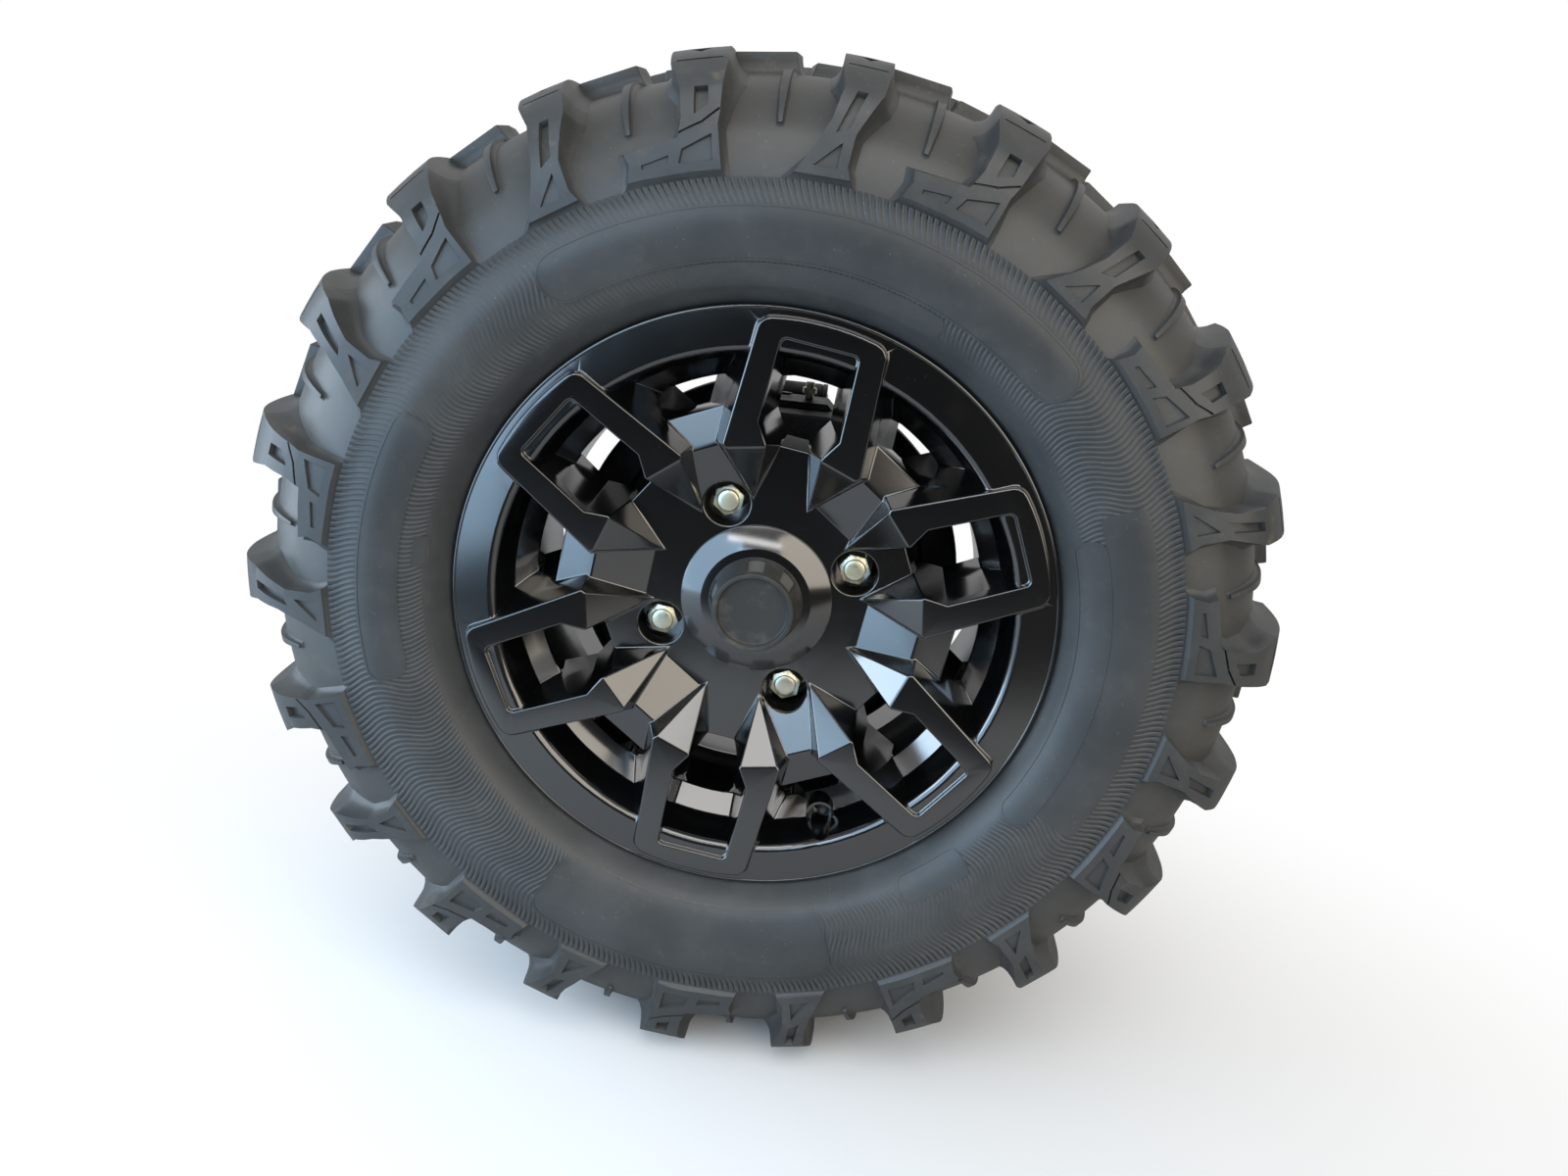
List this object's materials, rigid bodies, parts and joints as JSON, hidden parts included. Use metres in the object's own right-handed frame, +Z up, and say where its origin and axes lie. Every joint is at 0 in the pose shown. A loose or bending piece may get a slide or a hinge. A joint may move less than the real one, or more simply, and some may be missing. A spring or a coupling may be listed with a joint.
{
  "type": "utility vehicle wheel end",
  "caption": "Lugged off-road tyre on a black cast wheel with U-shaped spoke loops, turning on a hub, brake disc and knuckle with two arm pivots.",
  "frame": {"origin": "middle of the lower arm pivot of the knuckle", "axes": "+X along the pivot towards the vehicle's front, +Y inboard along the spin axis, +Z up"},
  "size_m": [0.6852, 0.3064, 0.6852],
  "materials": {
    "tyre_rubber": "matt moulded rubber with light dust",
    "wheel_paint": "satin black powder coat",
    "cap_plastic": "satin moulded plastic",
    "zinc_plate": "pale yellow zinc plate",
    "hub_steel": "turned steel",
    "valve_rubber": "smooth rubber",
    "disc_steel": "ground steel",
    "knuckle_paint": "black painted casting",
    "bearing_steel": "ground steel",
    "caliper_cast": "black painted casting with machined faces",
    "pad_lining": "matt friction lining on a plate",
    "bush_plastic": "moulded bearing plastic"
  },
  "bodies": {
    "knuckle": {"knuckle": "knuckle_paint", "dust_guard": "knuckle_paint", "wheel_bearing": "bearing_steel", "brake_caliper": "caliper_cast", "brake_pad_outer": "pad_lining", "brake_pad_inner": "pad_lining", "caliper_bolt_1": "zinc_plate", "caliper_bolt_2": "zinc_plate", "bleed_screw": "zinc_plate", "lower_bushing_1": "bush_plastic", "lower_bushing_2": "bush_plastic", "upper_bushing_1": "bush_plastic", "upper_bushing_2": "bush_plastic", "lower_pivot_sleeve": "bearing_steel", "upper_pivot_sleeve": "bearing_steel"},
    "wheel": {"tyre": "tyre_rubber", "alloy_wheel": "wheel_paint", "centre_cap": "cap_plastic", "lug_nut_1": "zinc_plate", "lug_nut_2": "zinc_plate", "lug_nut_3": "zinc_plate", "lug_nut_4": "zinc_plate", "wheel_stud_1": "hub_steel", "wheel_stud_2": "hub_steel", "wheel_stud_3": "hub_steel", "wheel_stud_4": "hub_steel", "valve_stem": "valve_rubber", "valve_cap": "cap_plastic", "wheel_hub": "hub_steel", "brake_disc": "disc_steel", "stub_axle": "hub_steel"}
  },
  "joints": [
    {"name": "wheel_spin", "type": "hinge", "parent": "knuckle", "child": "wheel", "pos_m": [0, -0.264, 0.095], "axis": [0, 1, 0], "continuous": true}
  ]
}
